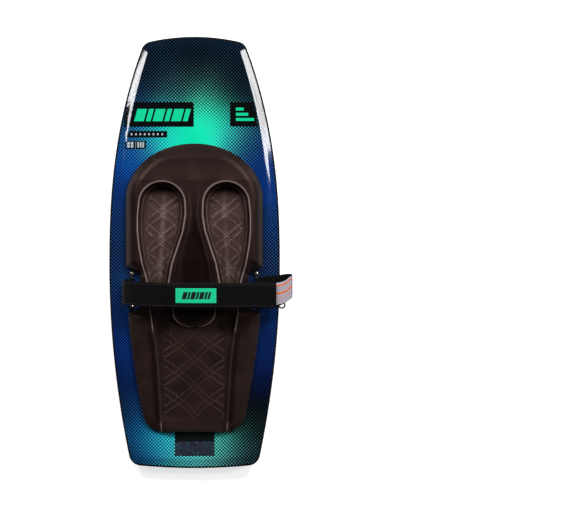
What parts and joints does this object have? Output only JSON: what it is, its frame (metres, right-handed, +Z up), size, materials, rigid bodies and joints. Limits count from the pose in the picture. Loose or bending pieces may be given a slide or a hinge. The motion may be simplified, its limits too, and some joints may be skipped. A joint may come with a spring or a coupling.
{
  "type": "kneeboard",
  "caption": "Moulded water sports kneeboard with a contoured foam knee pad, strap anchors and an opening hook-and-loop thigh strap over a channelled hull.",
  "frame": {"origin": "middle of the hull's flat centre, on the surface the board stands on", "axes": "+X across the board to the rider's right, +Y along the board to the nose, +Z up out of the deck"},
  "size_m": [0.5658, 1.33, 0.1618],
  "materials": {
    "printed_skin": "glossy printed moulded skin",
    "foam": "rigid closed-cell foam",
    "rail": "black moulded edge",
    "eva": "satin moulded closed-cell foam",
    "webbing": "woven, loop faced",
    "neoprene": "fabric faced foam rubber",
    "patch": "moulded soft rubber",
    "label": "smooth printed tape",
    "steel": "stainless",
    "coated_steel": "black powder coat",
    "brass": "machined",
    "nylon": "moulded"
  },
  "bodies": {
    "board": {"deck_skin": "printed_skin", "hull_skin": "printed_skin", "foam_core": "foam", "rail_band": "rail", "knee_pad": "eva", "deck_label": "label", "left_bracket": "coated_steel", "left_insert_block": "nylon", "left_front_insert": "brass", "left_front_screw": "steel", "left_front_washer": "nylon", "left_rear_insert": "brass", "left_rear_screw": "steel", "left_rear_washer": "nylon", "right_bracket": "coated_steel", "right_insert_block": "nylon", "right_front_insert": "brass", "right_front_screw": "steel", "right_front_washer": "nylon", "right_rear_insert": "brass", "right_rear_screw": "steel", "right_rear_washer": "nylon", "left_strap_base": "webbing", "right_strap_base": "webbing"},
    "left_strap": {"left_strap_web": "webbing", "left_strap_liner": "neoprene", "strap_patch": "patch"},
    "right_strap": {"right_strap_flap": "webbing", "right_hook_strip": "nylon", "strap_label": "label", "pull_loop": "webbing"}
  },
  "joints": [
    {"name": "left_strap_fold", "type": "hinge", "parent": "board", "child": "left_strap", "pos_m": [-0.22085, -0.122, 0.092], "axis": [0, -1, 0], "range_deg": [0, 135]},
    {"name": "right_strap_fold", "type": "hinge", "parent": "board", "child": "right_strap", "pos_m": [0.30235, -0.102, 0.092], "axis": [0, 1, 0], "range_deg": [0, 108]}
  ],
  "couplings": [
    {"joint": "right_strap_fold", "follows": "left_strap_fold", "ratio": 0.8}
  ]
}
